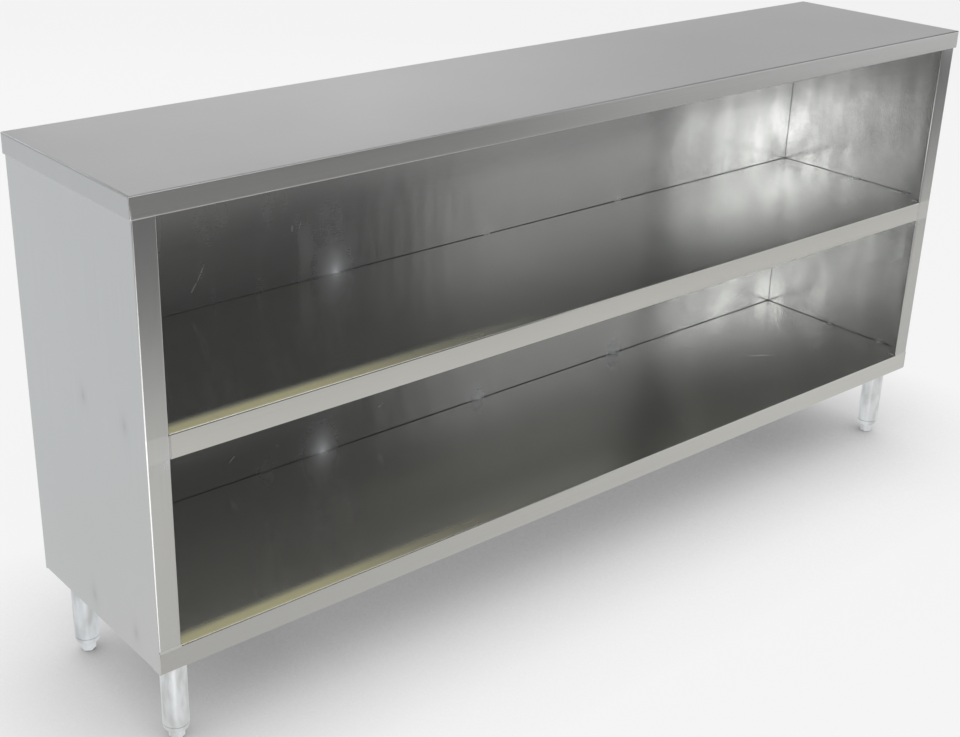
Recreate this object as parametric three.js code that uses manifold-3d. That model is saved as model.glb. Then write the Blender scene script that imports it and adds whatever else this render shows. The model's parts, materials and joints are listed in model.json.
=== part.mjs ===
// Open-fronted stainless steel dish cabinet: folded sheet body, two shelves, four legs with screw feet.
// Lengths are millimetres. X is the width, Y the depth with the front at the low end, Z is up.
// The origin is the middle of the floor under the worktop.
import * as THREE from 'three';
import { mergeVertices } from 'three/addons/utils/BufferGeometryUtils.js';
import Module from 'manifold-3d';

const wasm = await Module();
wasm.setup();

// Overall size
const cabinetWidth = 1829;
const cabinetDepth = 381;
const cabinetHeight = 881;

// Sheet metal
const sheet = 1.2;
const bendInside = 1.6;
const gap = 0.3;
const cutOverrun = 5;
const bendSteps = 5;

// Worktop
const worktopEdgeHeight = 33.4;
const overhangSide = 3.2;
const overhangFront = 4;

// Body
const legHeight = 152;
const stileWidth = 37;
const stileReturn = 18;
const flange = 18;

// Shelves
const bottomRailHeight = 38.5;
const bottomRailLip = 15;
const middleShelfTop = 534.3;
const middleRailHeight = 40.3;
const middleRailLip = 12;
const shelfFlange = 20;
const cornerRelief = 4;

// Rail that hides behind the worktop edge
const topRailHeight = 30;
const topRailLip = 12;

// Hat channels that stiffen the flat sheets
const channelCrown = 60;
const channelFoot = 15;
const topChannelDrop = 24;
const shelfChannelDrop = 18;
const shelfChannelEndClearance = 60;

// Channels that carry the legs
const legChannelWidth = 70;
const legChannelFlange = 24;
const legChannelSheet = 1.5;
const legChannelEndClearance = 16;
const legInsetSide = 43;
const legInsetDepth = 42.5;

// Leg tubes
const tubeRadius = 20.65;
const tubeWall = 1.5;
const roundSteps = 40;

// Sockets that hold the leg tubes
const socketPlate = 62;
const socketPlateThickness = 3;
const socketPlateCorner = 8;
const socketWall = 4.2;
const socketRingHeight = 27;

// Grub screws that lock the tubes in their sockets
const grubRadius = 4;
const grubLength = 5;
const grubKeyRadius = 2.3;
const grubKeyDepth = 3;
const grubHeightShare = 0.45;
const hexSides = 6;

// Screw feet
const footHeight = 28;
const footShoulderHeight = 12.5;
const footHexRadius = 12.6;
const footHexChamfer = 2;
const footShoulderFoot = 12.6;
const stemRadius = 7.9;
const stemLength = 50;
const stemChamfer = 1.5;
const shoulderSteps = 7;

// Threaded inserts that take the feet
const insertHeight = 25;
const insertChamfer = 1.2;

// Levels and faces that follow from the sizes above
const halfWidth = cabinetWidth / 2;
const halfDepth = cabinetDepth / 2;
const bodySide = halfWidth - overhangSide;
const bodyFront = -halfDepth + overhangFront;
const bodyBack = halfDepth - sheet - gap;
const underTop = cabinetHeight - sheet - gap;
const stileInner = bodySide - stileWidth;
const returnRear = bodyFront + stileReturn;
const insideWall = bodySide - sheet - gap;
const insideBack = bodyBack - sheet - gap;
const bottomShelfTop = legHeight + bottomRailHeight;
const legX = bodySide - legInsetSide;
const legFrontY = bodyFront + legInsetDepth;
const legRearY = bodyBack - legInsetDepth;
const cornerRadius = bendInside + sheet;

// A quarter turn of the compass
const quarterTurn = Math.PI / 2;

// Solid from a closed surface
function solid(geometry) {
  const bare = geometry.clone();
  bare.deleteAttribute('normal');
  bare.deleteAttribute('uv');
  const merged = mergeVertices(bare);
  const vertProperties = new Float32Array(merged.attributes.position.array);
  const triVerts = new Uint32Array(merged.index.array);
  return new wasm.Manifold(new wasm.Mesh({ numProp: 3, vertProperties, triVerts }));
}

// Solid block between two limits on each axis
function block(x, y, z) {
  const size = [x, y, z].map(([low, high]) => high - low);
  const middle = [x, y, z].map(([low, high]) => (low + high) / 2);
  const geometry = new THREE.BoxGeometry(...size);
  geometry.translate(...middle);
  return solid(geometry);
}

// Prism of a flat outline given in (y, z), running along X
function alongX(points, [low, high]) {
  const geometry = new THREE.ExtrudeGeometry(new THREE.Shape(points), {
    depth: high - low,
    bevelEnabled: false,
  });
  const basis = new THREE.Matrix4().makeBasis(
    new THREE.Vector3(0, 1, 0),
    new THREE.Vector3(0, 0, 1),
    new THREE.Vector3(1, 0, 0),
  );
  geometry.applyMatrix4(basis);
  geometry.translate(low, 0, 0);
  return solid(geometry);
}

// Prism of a flat outline given in (x, z), running along Y
function alongY(points, [low, high]) {
  const geometry = new THREE.ExtrudeGeometry(new THREE.Shape(points), {
    depth: high - low,
    bevelEnabled: false,
  });
  const basis = new THREE.Matrix4().makeBasis(
    new THREE.Vector3(1, 0, 0),
    new THREE.Vector3(0, 0, 1),
    new THREE.Vector3(0, -1, 0),
  );
  geometry.applyMatrix4(basis);
  geometry.translate(0, high, 0);
  return solid(geometry);
}

// Prism of a flat outline given in (x, y), running along Z
function alongZ(points, [low, high]) {
  const geometry = new THREE.ExtrudeGeometry(new THREE.Shape(points), {
    depth: high - low,
    bevelEnabled: false,
  });
  geometry.translate(0, 0, low);
  return solid(geometry);
}

// Body turned from a closed profile of [radius, height] pairs, standing at a point
function turned(profile, [x, y, z], steps = roundSteps) {
  const points = profile.map(([radius, height]) => new THREE.Vector2(radius, height));
  const geometry = new THREE.LatheGeometry(points, steps);
  geometry.rotateX(quarterTurn);
  geometry.translate(x, y, z);
  return solid(geometry);
}

// Round-cornered rectangle
function roundedRectangle([left, right], [low, high], radius) {
  const centres = [
    [right - radius, high - radius],
    [left + radius, high - radius],
    [left + radius, low + radius],
    [right - radius, low + radius],
  ];
  const points = [];
  centres.forEach(([a, b], corner) => {
    for (let step = 0; step <= bendSteps; step += 1) {
      const angle = quarterTurn * (corner + step / bendSteps);
      points.push(new THREE.Vector2(a + radius * Math.cos(angle), b + radius * Math.sin(angle)));
    }
  });
  return points;
}

// Line moved sideways by a distance, to the left of its direction of travel
function sideways(points, distance) {
  const normals = points.slice(1).map((end, index) => {
    const along = end.clone().sub(points[index]).normalize();
    return new THREE.Vector2(-along.y, along.x);
  });
  return points.map((point, index) => {
    const before = normals[Math.max(index - 1, 0)];
    const after = normals[Math.min(index, normals.length - 1)];
    const both = before.clone().add(after);
    return point.clone().addScaledVector(both, (distance * 2) / both.lengthSq());
  });
}

// Line with each corner replaced by an arc, sized by which way the line turns there
function rounded(points, leftRadius, rightRadius) {
  const path = [points[0]];
  for (let index = 1; index < points.length - 1; index += 1) {
    const corner = points[index];
    const back = points[index - 1].clone().sub(corner).normalize();
    const ahead = points[index + 1].clone().sub(corner).normalize();
    const turn = Math.sign(ahead.cross(back));
    const radius = turn > 0 ? leftRadius : rightRadius;
    const halfAngle = back.angleTo(ahead) / 2;
    const bisector = back.clone().add(ahead).normalize();
    const centre = corner.clone().addScaledVector(bisector, radius / Math.sin(halfAngle));
    const start = corner.clone().addScaledVector(back, radius / Math.tan(halfAngle)).sub(centre);
    const sweep = turn * (Math.PI - 2 * halfAngle);
    for (let step = 0; step <= bendSteps; step += 1) {
      const spoke = start.clone().rotateAround(new THREE.Vector2(), (sweep * step) / bendSteps);
      path.push(spoke.add(centre));
    }
  }
  path.push(points.at(-1));
  return path;
}

// Outline of folded sheet whose face follows the line, with the metal on its left side
function folded(line, thickness = sheet) {
  const face = line.map(([a, b]) => new THREE.Vector2(a, b));
  const bendOutside = bendInside + thickness;
  const near = rounded(face, bendOutside, bendInside);
  const far = rounded(sideways(face, thickness), bendInside, bendOutside);
  return [...near, ...far.reverse()];
}

// Mirror of a solid across the middle of the width
function mirroredX(shape) {
  return shape.mirror([1, 0, 0]);
}

// Upright block that fills the plan of the body, with its corners rounded
function bodyPlan() {
  const plan = roundedRectangle([-bodySide, bodySide], [bodyFront, bodyBack], cornerRadius);
  return alongZ(plan, [0, cabinetHeight]);
}

// Block with rounded edges, apart from the lower one at the rear
function lidBlock(x, y, z, radius) {
  const plan = roundedRectangle(x, y, radius);
  const frontView = roundedRectangle(x, z, radius);
  const roundCorners = 3;
  const rounded = roundedRectangle(y, z, radius).slice(0, roundCorners * (bendSteps + 1));
  const sideView = [...rounded, new THREE.Vector2(y[1], z[0])];
  return alongZ(plan, z).intersect(alongY(frontView, y)).intersect(alongX(sideView, x));
}

// Folded lid: flat top, turned-down edges and a short lip under the front and the ends
function worktop() {
  const edgeBottom = cabinetHeight - worktopEdgeHeight;
  const skin = lidBlock(
    [-halfWidth, halfWidth],
    [-halfDepth, halfDepth],
    [edgeBottom, cabinetHeight],
    cornerRadius,
  );
  const hollow = lidBlock(
    [-halfWidth + sheet, halfWidth - sheet],
    [-halfDepth + sheet, halfDepth - sheet],
    [edgeBottom + sheet, cabinetHeight - sheet],
    bendInside,
  );
  const mouth = block(
    [-bodySide - gap, bodySide + gap],
    [bodyFront - gap, halfDepth - sheet],
    [edgeBottom - cutOverrun, edgeBottom + sheet + bendInside],
  );
  return skin.subtract(hollow).subtract(mouth);
}

// Hat-shaped channel along X, its feet against the sheet above
function hatChannel(length, y, top, drop) {
  const halfCrown = channelCrown / 2;
  const reach = halfCrown + channelFoot;
  const line = [
    [y - reach, top - sheet],
    [y - halfCrown, top - sheet],
    [y - halfCrown, top - drop],
    [y + halfCrown, top - drop],
    [y + halfCrown, top - sheet],
    [y + reach, top - sheet],
  ];
  return alongX(folded(line), [-length / 2, length / 2]);
}

// Channel between the stiles behind the worktop edge
function topFrontRail() {
  const line = [
    [bodyFront + flange, underTop],
    [bodyFront, underTop],
    [bodyFront, underTop - topRailHeight],
    [bodyFront + topRailLip, underTop - topRailHeight],
  ];
  const reach = stileInner - gap;
  return alongX(folded(line), [-reach, reach]);
}

// Right side: skin, stile across the front and a return folded back beside the opening
function sidePanel() {
  const rear = bodyBack - sheet - gap;
  const plan = [
    [stileInner, returnRear],
    [stileInner, bodyFront],
    [bodySide, bodyFront],
    [bodySide, rear],
  ];
  const flanges = [
    [bodySide - flange, legHeight],
    [bodySide, legHeight],
    [bodySide, underTop],
    [bodySide - flange, underTop],
  ];
  const flangeRun = [returnRear + gap, rear - cornerRelief];
  const bendX = [bodySide - flange, bodySide + cutOverrun];
  const bottomBend = block(bendX, flangeRun, [legHeight - cutOverrun, legHeight + cornerRadius]);
  const topBend = block(bendX, flangeRun, [underTop - cornerRadius, underTop + cutOverrun]);
  const railCorner = block(
    [stileInner - cutOverrun, bodySide + cutOverrun],
    [bodyFront - cutOverrun, returnRear + gap],
    [legHeight - cutOverrun, bottomShelfTop + gap],
  );
  const skinBehindRail = block(
    [bodySide - sheet, bodySide],
    [bodyFront + sheet + gap, returnRear + cornerRelief],
    [legHeight, bottomShelfTop + cornerRelief],
  );
  return alongZ(folded(plan), [legHeight, underTop])
    .subtract(bottomBend)
    .subtract(topBend)
    .subtract(railCorner)
    .add(alongY(folded(flanges), flangeRun))
    .add(skinBehindRail)
    .intersect(bodyPlan());
}

// Back skin over the rear edges of the sides, flanged forward at its top and bottom
function backPanel() {
  const line = [
    [bodyBack - flange, legHeight],
    [bodyBack, legHeight],
    [bodyBack, underTop],
    [bodyBack - flange, underTop],
  ];
  const skin = alongX(folded(line), [-bodySide, bodySide]);
  const flangeEnd = bodySide - flange - gap;
  const ends = block(
    [flangeEnd, bodySide + cutOverrun],
    [bodyBack - flange - cutOverrun, bodyBack - sheet],
    [legHeight - cutOverrun, underTop + cutOverrun],
  );
  return skin.subtract(ends).subtract(mirroredX(ends)).intersect(bodyPlan());
}

// Deck with flanges folded down at both ends and at the rear
function deck(top, frontEdge) {
  const under = top - shelfFlange;
  const ends = [
    [insideWall, under],
    [insideWall, top],
    [-insideWall, top],
    [-insideWall, under],
  ];
  const rear = [
    [insideBack, under],
    [insideBack, top],
    [insideBack - shelfFlange, top],
  ];
  const reach = insideWall - cornerRelief;
  const acrossWidth = alongY(folded(ends), [frontEdge, insideBack - cornerRelief]);
  return acrossWidth.add(alongX(folded(rear), [-reach, reach]));
}

// Folded front edge of a shelf: a strip of deck, the upright rail and a lip below it
function shelfFront(top, bottom, lip, deckEdge, reach) {
  const line = [
    [deckEdge, top],
    [bodyFront, top],
    [bodyFront, bottom],
    [bodyFront + lip, bottom],
  ];
  return alongX(folded(line), [-reach, reach]);
}

// Shelf whose front rail is welded between the stiles
function middleShelf() {
  const deckFront = returnRear + gap;
  const railBottom = middleShelfTop - middleRailHeight;
  const reach = stileInner - gap;
  const front = shelfFront(middleShelfTop, railBottom, middleRailLip, deckFront + cornerRelief, reach);
  return front.add(deck(middleShelfTop, deckFront));
}

// Floor shelf: its rail runs the full width, in front of the sides and under the stiles
function bottomShelf() {
  const deckFront = returnRear + gap;
  const deckEdge = deckFront + cornerRelief;
  const reach = stileInner - gap;
  const front = shelfFront(bottomShelfTop, legHeight, bottomRailLip, deckEdge, reach);
  const railView = roundedRectangle([bodyFront, deckEdge], [legHeight, bottomShelfTop], cornerRadius);
  const railSkin = block(
    [-bodySide, bodySide],
    [bodyFront - cutOverrun, bodyFront + sheet],
    [legHeight - cutOverrun, bottomShelfTop + cutOverrun],
  );
  const railEnd = alongX(railView, [reach, bodySide]).intersect(railSkin).intersect(bodyPlan());
  return front.add(deck(bottomShelfTop, deckFront)).add(railEnd).add(mirroredX(railEnd));
}

// Channel under the floor shelf that carries a front and a rear leg
function legChannel(x) {
  const top = bottomShelfTop - sheet - gap;
  const half = legChannelWidth / 2;
  const line = [
    [x + half, top - legChannelFlange],
    [x + half, top],
    [x - half, top],
    [x - half, top - legChannelFlange],
  ];
  const run = [bodyFront + legChannelEndClearance, insideBack - legChannelEndClearance];
  return alongY(folded(line, legChannelSheet), run);
}

const socketTop = bottomShelfTop - sheet - gap - legChannelSheet - gap;
const socketBore = tubeRadius + gap;
const socketOuter = socketBore + socketWall;
const ringTop = socketTop - socketPlateThickness;
const grubHeight = ringTop - socketRingHeight * grubHeightShare;

// Cup with a square plate, open below for the leg tube, tapped on one side for a grub screw
function legSocket(x, y) {
  const half = socketPlate / 2;
  const plan = roundedRectangle([x - half, x + half], [y - half, y + half], socketPlateCorner);
  const plate = alongZ(plan, [ringTop, socketTop]);
  const ring = turned(
    [
      [socketBore, -socketRingHeight],
      [socketOuter, -socketRingHeight],
      [socketOuter, socketPlateThickness / 2],
      [socketBore, socketPlateThickness / 2],
      [socketBore, -socketRingHeight],
    ],
    [x, y, ringTop],
  );
  const hole = crosswiseBar(x, y, grubRadius + gap, [socketBore - cutOverrun, socketOuter + cutOverrun]);
  return plate.add(ring).subtract(hole);
}

// Round bar that points from the leg towards the middle of the cabinet
function crosswiseBar(x, y, radius, [near, far], steps = roundSteps / 2) {
  const inward = -Math.sign(x);
  const geometry = new THREE.CylinderGeometry(radius, radius, far - near, steps);
  geometry.rotateZ(quarterTurn);
  geometry.translate(x + (inward * (near + far)) / 2, y, grubHeight);
  return solid(geometry);
}

// Grub screw with a hexagon key socket
function grubScrew(x, y) {
  const tip = tubeRadius + gap;
  const body = crosswiseBar(x, y, grubRadius, [tip, tip + grubLength]);
  const keyEnd = tip + grubLength;
  const key = crosswiseBar(x, y, grubKeyRadius, [keyEnd - grubKeyDepth, keyEnd + cutOverrun], hexSides);
  return body.subtract(key);
}

// Round leg tube from the foot up into its socket
function legTube(x, y) {
  const length = ringTop - gap - footHeight - gap;
  const bore = tubeRadius - tubeWall;
  const profile = [
    [bore, 0],
    [tubeRadius, 0],
    [tubeRadius, length],
    [bore, length],
    [bore, 0],
  ];
  return turned(profile, [x, y, footHeight + gap]);
}

// Threaded plug inside the bottom of the tube, its thread drawn as a plain bore
function footInsert(x, y) {
  const outer = tubeRadius - tubeWall - gap;
  const bore = stemRadius + gap;
  const profile = [
    [bore, 0],
    [outer - insertChamfer, 0],
    [outer, insertChamfer],
    [outer, insertHeight],
    [bore, insertHeight],
    [bore, 0],
  ];
  return turned(profile, [x, y, footHeight + gap]);
}

// Bullet foot: hexagon tip, rounded shoulder as wide as the tube, screw stem above
function foot(x, y) {
  const shoulderFoot = footHeight - footShoulderHeight;
  const shoulder = [];
  for (let step = 0; step <= shoulderSteps; step += 1) {
    const angle = (quarterTurn * step) / shoulderSteps;
    const radius = footShoulderFoot + (tubeRadius - footShoulderFoot) * Math.sin(angle);
    const height = footHeight - sheet - (footShoulderHeight - sheet) * Math.cos(angle);
    shoulder.push([radius, height]);
  }
  const top = footHeight + stemLength;
  const profile = [
    [0, shoulderFoot],
    ...shoulder,
    [tubeRadius, footHeight],
    [stemRadius, footHeight],
    [stemRadius, top - stemChamfer],
    [stemRadius - stemChamfer, top],
    [0, top],
  ];
  const hexProfile = [
    [0, 0],
    [footHexRadius - footHexChamfer, 0],
    [footHexRadius, footHexChamfer],
    [footHexRadius, shoulderFoot + sheet],
    [0, shoulderFoot + sheet],
  ];
  return turned(profile, [x, y, 0]).add(turned(hexProfile, [x, y, 0], hexSides));
}

// Finishes
const brushedSheet = new THREE.MeshStandardMaterial({ color: 0xb9bcbd, roughness: 0.35, metalness: 1 });
const plainSheet = new THREE.MeshStandardMaterial({ color: 0xa4a7a8, roughness: 0.5, metalness: 1 });
const polishedTube = new THREE.MeshStandardMaterial({ color: 0xc6c8c9, roughness: 0.25, metalness: 1 });
const castSteel = new THREE.MeshStandardMaterial({ color: 0x9a9c9e, roughness: 0.6, metalness: 1 });

const cabinet = new THREE.Group();
cabinet.name = 'dish_storage_cabinet';

// Add a solid to the cabinet as a named piece
function addPiece(name, shape, material) {
  const mesh = shape.getMesh();
  const geometry = new THREE.BufferGeometry();
  geometry.setAttribute('position', new THREE.BufferAttribute(mesh.vertProperties, mesh.numProp));
  geometry.setIndex(new THREE.BufferAttribute(mesh.triVerts, 1));
  geometry.computeVertexNormals();
  const piece = new THREE.Mesh(geometry, material);
  piece.name = name;
  cabinet.add(piece);
}

const right = sidePanel();
const channelMiddle = (bodyFront + bodyBack) / 2;
const topChannelLength = 2 * (bodySide - flange - gap);
const shelfChannelLength = 2 * (insideWall - shelfChannelEndClearance);
const bottomChannelLength = 2 * (legX - legChannelWidth / 2 - gap);

addPiece('worktop', worktop(), brushedSheet);
addPiece(
  'worktop_channel',
  hatChannel(topChannelLength, channelMiddle, underTop, topChannelDrop),
  plainSheet,
);
addPiece('top_front_rail', topFrontRail(), plainSheet);
addPiece('side_panel_right', right, brushedSheet);
addPiece('side_panel_left', mirroredX(right), brushedSheet);
addPiece('back_panel', backPanel(), brushedSheet);
addPiece('middle_shelf', middleShelf(), brushedSheet);
addPiece(
  'middle_shelf_channel',
  hatChannel(shelfChannelLength, channelMiddle, middleShelfTop - sheet - gap, shelfChannelDrop),
  plainSheet,
);
addPiece('bottom_shelf', bottomShelf(), brushedSheet);
addPiece(
  'bottom_shelf_channel',
  hatChannel(bottomChannelLength, channelMiddle, bottomShelfTop - sheet - gap, shelfChannelDrop),
  plainSheet,
);
addPiece('leg_channel_left', legChannel(-legX), plainSheet);
addPiece('leg_channel_right', legChannel(legX), plainSheet);

const legs = {
  front_left: [-legX, legFrontY],
  front_right: [legX, legFrontY],
  rear_left: [-legX, legRearY],
  rear_right: [legX, legRearY],
};
for (const [place, [x, y]] of Object.entries(legs)) {
  addPiece(`leg_socket_${place}`, legSocket(x, y), castSteel);
  addPiece(`socket_screw_${place}`, grubScrew(x, y), castSteel);
  addPiece(`leg_tube_${place}`, legTube(x, y), polishedTube);
  addPiece(`foot_insert_${place}`, footInsert(x, y), castSteel);
  addPiece(`foot_${place}`, foot(x, y), polishedTube);
}

export default cabinet;
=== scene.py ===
# %% [markdown]
# An open-fronted dish cabinet in satin stainless steel. Its sheets, shelves and legs arrive as CAD
# solids; this lesson gives them their brushed finish, adds the welds, and lights them in a studio.
# The boxes of the solids are measured first, to place what is added on them.

import json
import math
import random

import bpy
import bmesh
from mathutils import Matrix, Vector

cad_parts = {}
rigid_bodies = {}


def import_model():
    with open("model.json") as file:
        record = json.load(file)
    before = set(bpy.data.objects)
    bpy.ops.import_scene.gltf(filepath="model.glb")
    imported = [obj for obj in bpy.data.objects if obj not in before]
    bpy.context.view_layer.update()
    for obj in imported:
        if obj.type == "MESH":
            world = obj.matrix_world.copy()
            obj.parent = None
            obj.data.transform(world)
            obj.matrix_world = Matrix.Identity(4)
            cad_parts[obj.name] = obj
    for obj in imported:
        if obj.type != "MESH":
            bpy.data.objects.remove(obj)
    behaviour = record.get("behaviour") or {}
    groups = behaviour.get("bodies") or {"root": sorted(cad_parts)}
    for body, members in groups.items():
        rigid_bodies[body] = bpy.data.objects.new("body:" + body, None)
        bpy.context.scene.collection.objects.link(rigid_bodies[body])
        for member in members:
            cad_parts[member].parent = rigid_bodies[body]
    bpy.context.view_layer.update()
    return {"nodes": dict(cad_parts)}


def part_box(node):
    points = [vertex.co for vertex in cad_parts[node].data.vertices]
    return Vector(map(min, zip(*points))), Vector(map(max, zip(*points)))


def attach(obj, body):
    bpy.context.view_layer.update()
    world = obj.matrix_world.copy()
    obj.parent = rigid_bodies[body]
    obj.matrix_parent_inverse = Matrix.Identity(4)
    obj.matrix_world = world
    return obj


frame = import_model()
nodes = frame["nodes"]
CABINET = "cabinet"
MM = 0.001

# %% [markdown]
# Everything that is added sits on the solids, so a few of their faces are needed. Their places
# could be typed in again, but reading them from the boxes of the solids keeps them right when a
# size changes.

# %% Faces read from the solids
shelf_low, shelf_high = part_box("middle_shelf")
floor_shelf_low, floor_shelf_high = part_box("bottom_shelf")
side_low, side_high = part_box("side_panel_right")
SHEET = 1.2 * MM
body_front = side_low.y
stile_inner = side_low.x
inside_wall = shelf_high.x
inside_back = shelf_high.y
middle_deck = shelf_high.z
floor_deck = floor_shelf_high.z
print("stile edge", round(stile_inner, 4), "decks", round(middle_deck, 4), round(floor_deck, 4))

# %% [markdown]
# A photograph taken by hand is matched by a camera with the same place, aim and focal length. The
# aim could be a target to track, but then the slight roll of the hand would be lost, so it is given
# by a compass angle, a downward tilt and a roll. The focal length and the centre of the picture are
# in pixels, as such a match is measured, and are turned into a lens and a shift here.

# %% Camera at the photograph's viewing angle
IMAGE_WIDTH = 960
IMAGE_HEIGHT = 737
SENSOR_WIDTH = 36.0
focal_pixels = 1483.8
centre_across = 427.8
centre_down = 349.0
camera_place = Vector((-1748.7, -1807.3, 1454.8)) * MM
camera_compass = math.radians(-39.32)
camera_tilt = math.radians(23.51)
camera_roll = math.radians(1.05)


def camera_axes(compass, tilt, roll):
    """Right, up and backward directions of a camera that looks down at the object."""
    backward = Vector(
        (
            math.sin(compass) * math.cos(tilt),
            -math.cos(compass) * math.cos(tilt),
            math.sin(tilt),
        )
    )
    level_right = Vector((math.cos(compass), math.sin(compass), 0))
    level_up = backward.cross(level_right)
    right = math.cos(roll) * level_right + math.sin(roll) * level_up
    up = math.cos(roll) * level_up - math.sin(roll) * level_right
    return right, up, backward


camera_data = bpy.data.cameras.new("studio_camera")
camera_data.sensor_width = SENSOR_WIDTH
camera_data.lens = focal_pixels * SENSOR_WIDTH / IMAGE_WIDTH
camera_data.shift_x = (IMAGE_WIDTH / 2 - centre_across) / IMAGE_WIDTH
camera_data.shift_y = (centre_down - IMAGE_HEIGHT / 2) / IMAGE_WIDTH
camera = bpy.data.objects.new("studio_camera", camera_data)
axes = camera_axes(camera_compass, camera_tilt, camera_roll)
camera.matrix_world = Matrix.Translation(camera_place) @ Matrix(axes).transposed().to_4x4()
bpy.context.scene.collection.objects.link(camera)
bpy.context.scene.camera = camera
bpy.context.scene.view_settings.view_transform = "Standard"
print("lens", round(camera_data.lens, 2), "mm")

# %% [markdown]
# Materials are built as node graphs. They could be wired by hand in the shader editor, but written
# down they can be read and made again. A small helper keeps each finish short: it adds a node, sets
# its inputs, and joins the ones that are outputs of other nodes.


# %% A helper that builds node graphs
class Finish:
    """A material whose nodes are added one call at a time."""

    def __init__(self, name):
        self.material = bpy.data.materials.new(name)
        self.material.use_nodes = True
        self.tree = self.material.node_tree
        self.tree.nodes.clear()

    def add(self, kind, inputs=None, **settings):
        node = self.tree.nodes.new("ShaderNode" + kind)
        for key, value in settings.items():
            setattr(node, key, value)
        for key, value in (inputs or {}).items():
            self.join(value, node.inputs[key])
        return node

    def join(self, value, socket):
        if isinstance(value, bpy.types.NodeSocket):
            self.tree.links.new(value, socket)
        else:
            socket.default_value = value

    def maths(self, operation, first, second=0.0, third=0.0):
        values = {0: first, 1: second, 2: third}
        return self.add("Math", values, operation=operation).outputs[0]

    def between(self, share, first, second, start=0.0, end=1.0):
        """A number that runs from first to second as share runs from start to end."""
        inputs = {"Value": share, "To Min": first, "To Max": second}
        inputs.update({"From Min": start, "From Max": end})
        return self.add("MapRange", inputs, clamp=True).outputs[0]

    def ramp(self, value, low, high):
        """0 below low, 1 above high, smooth in between."""
        inputs = {"Value": value, "From Min": low, "From Max": high}
        return self.add("MapRange", inputs, interpolation_type="SMOOTHSTEP").outputs[0]

    def place(self):
        return self.add("TexCoord").outputs["Object"]

    def tone(self, share, dark, light):
        """A colour that runs from dark to light as share runs from 0 to 1."""
        mix = self.add("Mix", data_type="RGBA")
        self.join(share, mix.inputs[0])
        self.join(dark, mix.inputs[6])
        self.join(light, mix.inputs[7])
        return mix.outputs[2]

    def noise(self, stretch, detail=2.0, offset=(0, 0, 0)):
        """Noise with that many cells per metre along each axis, from about 0 to 1."""
        moved = {"Vector": self.place(), "Scale": stretch, "Location": offset}
        stretched = self.add("Mapping", moved).outputs[0]
        inputs = {"Vector": stretched, "Scale": 1.0, "Detail": detail}
        return self.add("TexNoise", inputs).outputs[0]

    def part_of_place(self, axis):
        """One coordinate of the point on the object, in metres."""
        return self.add("SeparateXYZ", {"Vector": self.place()}).outputs[axis]

    def show(self, shader):
        output = self.add("OutputMaterial")
        self.tree.links.new(shader, output.inputs["Surface"])
        return self.material


print("helper ready")

# %% [markdown]
# Clean stainless steel is a neutral grey mirror, and much of what the eye reads as its finish comes
# from work and use: dull places, hand polish, scuffs and dark joints. Some of the marks are painted
# light as well: darker places stand in for shade, pale halos and beads for glints, and a straw band
# for a reflection. One flat grey would look like plastic. So bare steel runs between two close
# tones, and each kind of mark has a colour and a roughness of its own, which masks bring in where
# the mark lies.

# %% Colours of the steel
STEEL_BRIGHT = ((0.62, 0.625, 0.62, 1), (0.7, 0.705, 0.7, 1))
STEEL_WARM = ((0.62, 0.62, 0.598, 1), (0.7, 0.7, 0.672, 1))
STEEL_CLOUDED = (0.58, 0.582, 0.575, 1)
# A pale colour for the polished halos, which also paints the glint on them
STEEL_POLISH_AND_GLINT = (0.93, 0.96, 1.0, 1)
STEEL_SCUFFED = (0.8, 0.8, 0.8, 1)
# A dark colour for dull places, which also paints shade
STEEL_DULL_AND_SHADE = (0.2, 0.2, 0.205, 1)
# A straw colour for the painted reflection along the shelf fronts
STRAW_REFLECTION_COLOUR = (1.0, 0.95, 0.6, 1)
SEAM_SHADOW = (0.15, 0.15, 0.155, 1)

# The colour that each kind of mark gives the sheet, and how much rougher the sheet is there
# Some kinds carry painted light: the polish also paints glints, the dull colour also paints shade, and
# the straw colour paints a reflection
MARKS = {
    "dull_and_shade": (STEEL_DULL_AND_SHADE, 0.25),
    "polish_and_glint": (STEEL_POLISH_AND_GLINT, 0.4),
    "scuffed": (STEEL_SCUFFED, 0.4),
    "straw": (STRAW_REFLECTION_COLOUR, 0.3),
    "seam": (SEAM_SHADOW, 0.0),
}
print("kinds of mark:", list(MARKS))

# %% [markdown]
# Brushed steel is polished with a belt, which leaves fine scratches all one way. They are drawn as
# noise stretched along the grain. Thin sheet is also never quite flat: folding and welding leave
# slow swells and quicker buckles in it, and they bend whatever it mirrors. Modelling them would
# change the shape of the part, so bump nodes tilt the surface for the shader only.

# %% Grain and waves of the sheet
GRAIN_ALONG_X = (1, 0.01, 0.005)
GRAIN_UPRIGHT = (0.005, 0.01, 1)
CELLS_ALONG = 5
CELLS_ACROSS = 800
SWELLS_PER_METRE = (2.5, 2.5, 2.5)
BUCKLES_PER_METRE = (22, 22, 7)
# Heights of the swells and of the buckles
FLAT = (0.8 * MM, 0.12 * MM)
BUCKLED = (1.4 * MM, 0.5 * MM)


def direction(finish, vector):
    """A fixed direction on the object, turned with it."""
    settings = {"vector_type": "VECTOR", "convert_from": "OBJECT", "convert_to": "WORLD"}
    return finish.add("VectorTransform", {"Vector": vector}, **settings).outputs[0]


def strokes_along(finish, grain):
    """Fine scratches that run along the grain."""
    stretch = tuple(CELLS_ALONG if part == 1 else CELLS_ACROSS for part in grain)
    return finish.noise(stretch, 3.0)


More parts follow.
